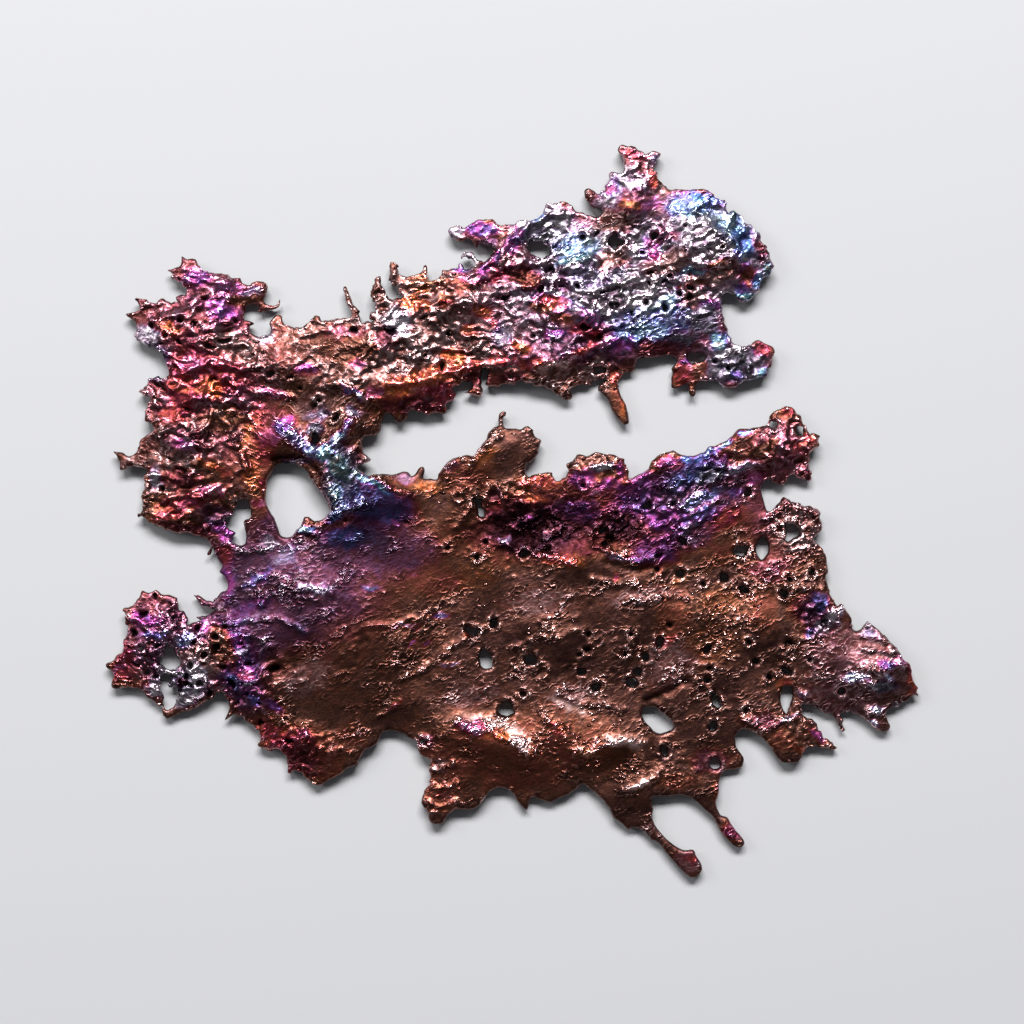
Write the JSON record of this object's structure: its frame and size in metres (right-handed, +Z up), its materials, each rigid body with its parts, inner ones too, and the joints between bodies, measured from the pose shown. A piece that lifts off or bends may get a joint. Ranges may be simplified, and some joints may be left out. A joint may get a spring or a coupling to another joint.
{
  "type": "copper splash",
  "caption": "Thin, ragged sheet of splashed copper with lacy rims, see-through holes, folds, short spines and drips, tinted by heat, lying flat.",
  "frame": {"origin": "centre of the bounding box in plan, at the level the splash rests on", "axes": "+Z up, out of the side seen in the picture; +X along the long side, from the lace on the left to the lobe on the right; +Y from the drips towards the upper arm, which is up in the picture"},
  "size_m": [0.1632, 0.1468, 0.0073],
  "materials": {
    "tinted_copper": "cast copper skin with a heat tint, glossy on the ridges"
  },
  "bodies": {
    "root": {"copper_splash": "tinted_copper"}
  },
  "joints": []
}
